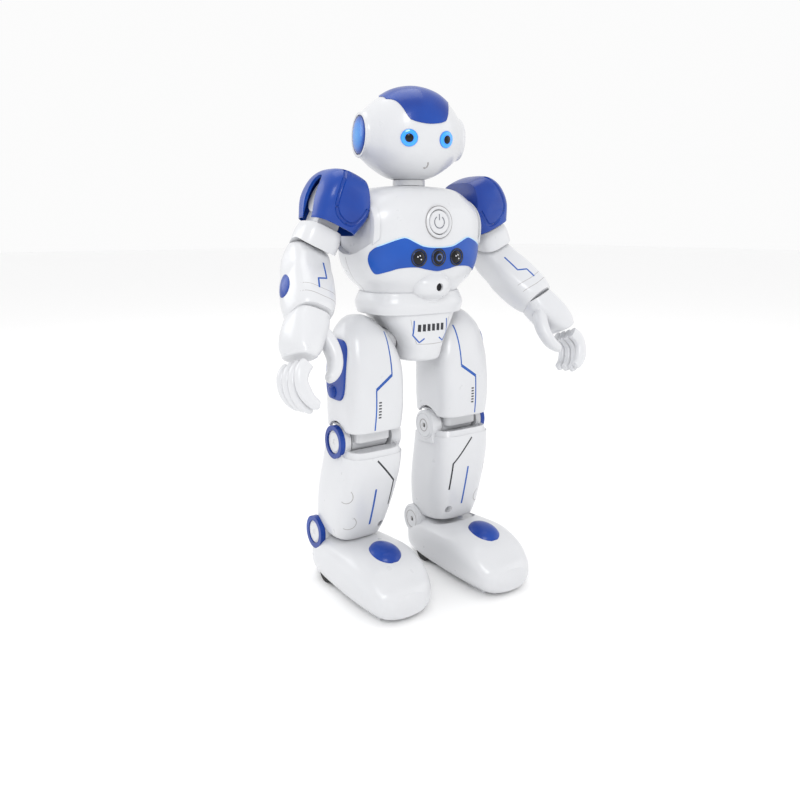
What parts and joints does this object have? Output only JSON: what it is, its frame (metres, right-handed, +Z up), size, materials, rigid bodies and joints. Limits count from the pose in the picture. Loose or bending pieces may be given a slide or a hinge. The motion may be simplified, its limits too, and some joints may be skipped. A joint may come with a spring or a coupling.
{
  "type": "walking humanoid toy robot",
  "caption": "Walking toy robot with turning head, swinging arms, hinged elbows and fingers, stepping legs and wheeled feet, and a chest power button.",
  "frame": {"origin": "middle of the overall box at the floor", "axes": "+Z up, the robot faces -Y, its left side is +X"},
  "size_m": [0.1796, 0.0848, 0.262],
  "materials": {
    "white_plastic": "glossy",
    "blue_plastic": "pearl gloss",
    "pale_blue_plastic": "glossy",
    "eye_glow": "lit",
    "black_lens": "glossy",
    "black_plastic": "matt",
    "circuit_board": "satin",
    "battery_wrap": "satin",
    "wheel_plastic": "matt",
    "steel": "plain"
  },
  "bodies": {
    "torso": {"chest_shell": "white_plastic", "rear_shell": "white_plastic", "chest_band": "blue_plastic", "sensor_lens_1": "black_lens", "sensor_lens_2": "black_lens", "sensor_lens_3": "black_lens", "battery_cover": "white_plastic", "charge_jack": "black_plastic", "battery_pack": "battery_wrap", "main_board": "circuit_board", "speaker": "black_plastic", "arm_gearbox": "black_plastic", "torso_screws": "steel", "waist_ring": "white_plastic", "pelvis_shell": "white_plastic"},
    "power_button": {"power_button": "white_plastic"},
    "head": {"face_shell": "white_plastic", "head_rear_shell": "white_plastic", "head_cap": "blue_plastic", "ear_disc_left": "pale_blue_plastic", "ear_disc_right": "pale_blue_plastic", "eye_light_left": "eye_glow", "eye_light_right": "eye_glow", "eye_pupils": "black_lens", "eye_led_board": "circuit_board", "neck_post": "white_plastic"},
    "upper_arm_left": {"shoulder_pad_left": "blue_plastic", "shoulder_hub_left": "white_plastic", "upper_arm_left": "white_plastic", "elbow_pin_left": "steel"},
    "forearm_left": {"forearm_left": "white_plastic", "forearm_badge_left": "blue_plastic", "hand_left": "white_plastic"},
    "fingers_left": {"fingers_left": "white_plastic"},
    "thigh_left": {"thigh_left": "white_plastic", "thigh_panel_left": "blue_plastic"},
    "shin_left": {"shin_left": "white_plastic", "knee_ring_left": "blue_plastic", "knee_pin_left": "steel"},
    "foot_left": {"foot_left": "white_plastic", "ankle_ring_left": "blue_plastic", "foot_dome_left": "blue_plastic"},
    "wheels_left": {"drive_wheels_left": "wheel_plastic"},
    "upper_arm_right": {"shoulder_pad_right": "blue_plastic", "shoulder_hub_right": "white_plastic", "upper_arm_right": "white_plastic", "elbow_pin_right": "steel"},
    "forearm_right": {"forearm_right": "white_plastic", "forearm_badge_right": "blue_plastic", "hand_right": "white_plastic"},
    "fingers_right": {"fingers_right": "white_plastic"},
    "thigh_right": {"thigh_right": "white_plastic", "thigh_panel_right": "blue_plastic"},
    "shin_right": {"shin_right": "white_plastic", "knee_ring_right": "blue_plastic", "knee_pin_right": "steel"},
    "foot_right": {"foot_right": "white_plastic", "ankle_ring_right": "blue_plastic", "foot_dome_right": "blue_plastic"},
    "wheels_right": {"drive_wheels_right": "wheel_plastic"}
  },
  "joints": [
    {"name": "neck_turn", "type": "hinge", "parent": "torso", "child": "head", "pos_m": [0, 0.00856, 0.205], "axis": [0, 0, 1], "range_deg": [-48, 72]},
    {"name": "shoulder_left", "type": "hinge", "parent": "torso", "child": "upper_arm_left", "pos_m": [0.048, 0.00856, 0.199], "axis": [1, 0, 0], "range_deg": [-120, 45]},
    {"name": "elbow_left", "type": "hinge", "parent": "upper_arm_left", "child": "forearm_left", "pos_m": [0.06224, 0.00856, 0.16703], "axis": [0.9135, 0, 0.4067], "range_deg": [-32, 43]},
    {"name": "fingers_left", "type": "hinge", "parent": "forearm_left", "child": "fingers_left", "pos_m": [0.08442, -0.02205, 0.12334], "axis": [0.1324, 0.9455, -0.2974], "range_deg": [-8, 20]},
    {"name": "shoulder_right", "type": "hinge", "parent": "torso", "child": "upper_arm_right", "pos_m": [-0.048, 0.00856, 0.199], "axis": [1, 0, 0], "range_deg": [-120, 45]},
    {"name": "elbow_right", "type": "hinge", "parent": "upper_arm_right", "child": "forearm_right", "pos_m": [-0.06224, 0.00856, 0.16703], "axis": [0.9135, 0, -0.4067], "range_deg": [-32, 43]},
    {"name": "fingers_right", "type": "hinge", "parent": "forearm_right", "child": "fingers_right", "pos_m": [-0.08442, -0.02205, 0.12334], "axis": [0.1324, -0.9455, 0.2974], "range_deg": [-8, 20]},
    {"name": "hip_left", "type": "hinge", "parent": "torso", "child": "thigh_left", "pos_m": [0.0285, 0.00856, 0.127], "axis": [1, 0, 0], "range_deg": [-10, 10]},
    {"name": "hip_right", "type": "hinge", "parent": "torso", "child": "thigh_right", "pos_m": [-0.0285, 0.00856, 0.127], "axis": [1, 0, 0], "range_deg": [-10, 10]},
    {"name": "knee_right", "type": "hinge", "parent": "thigh_right", "child": "shin_right", "pos_m": [-0.0285, 0.00856, 0.078], "axis": [1, 0, 0], "range_deg": [-9, 0]},
    {"name": "knee_left", "type": "hinge", "parent": "thigh_left", "child": "shin_left", "pos_m": [0.0285, 0.00856, 0.078], "axis": [1, 0, 0], "range_deg": [0, 9]},
    {"name": "ankle_right", "type": "hinge", "parent": "shin_right", "child": "foot_right", "pos_m": [-0.0285, 0.03285, 0.02424], "axis": [1, 0, 0], "range_deg": [0, 9]},
    {"name": "ankle_left", "type": "hinge", "parent": "shin_left", "child": "foot_left", "pos_m": [0.0285, 0.02415, 0.0211], "axis": [1, 0, 0], "range_deg": [-9, 0]},
    {"name": "wheels_left", "type": "hinge", "parent": "foot_left", "child": "wheels_left", "pos_m": [0.0285, 0.01615, 0.0065], "axis": [1, 0, 0], "continuous": true},
    {"name": "wheels_right", "type": "hinge", "parent": "foot_right", "child": "wheels_right", "pos_m": [-0.0285, 0.02485, 0.0065], "axis": [1, 0, 0], "continuous": true},
    {"name": "power_button_press", "type": "slide", "parent": "torso", "child": "power_button", "axis": [0, 1, 0], "range_m": [0, 0.0012], "stiffness_N_per_m": 900}
  ],
  "couplings": [
    {"joint": "knee_left", "follows": "knee_right", "ratio": -1},
    {"joint": "ankle_right", "follows": "knee_right", "ratio": -1},
    {"joint": "ankle_left", "follows": "knee_right", "ratio": 1}
  ]
}
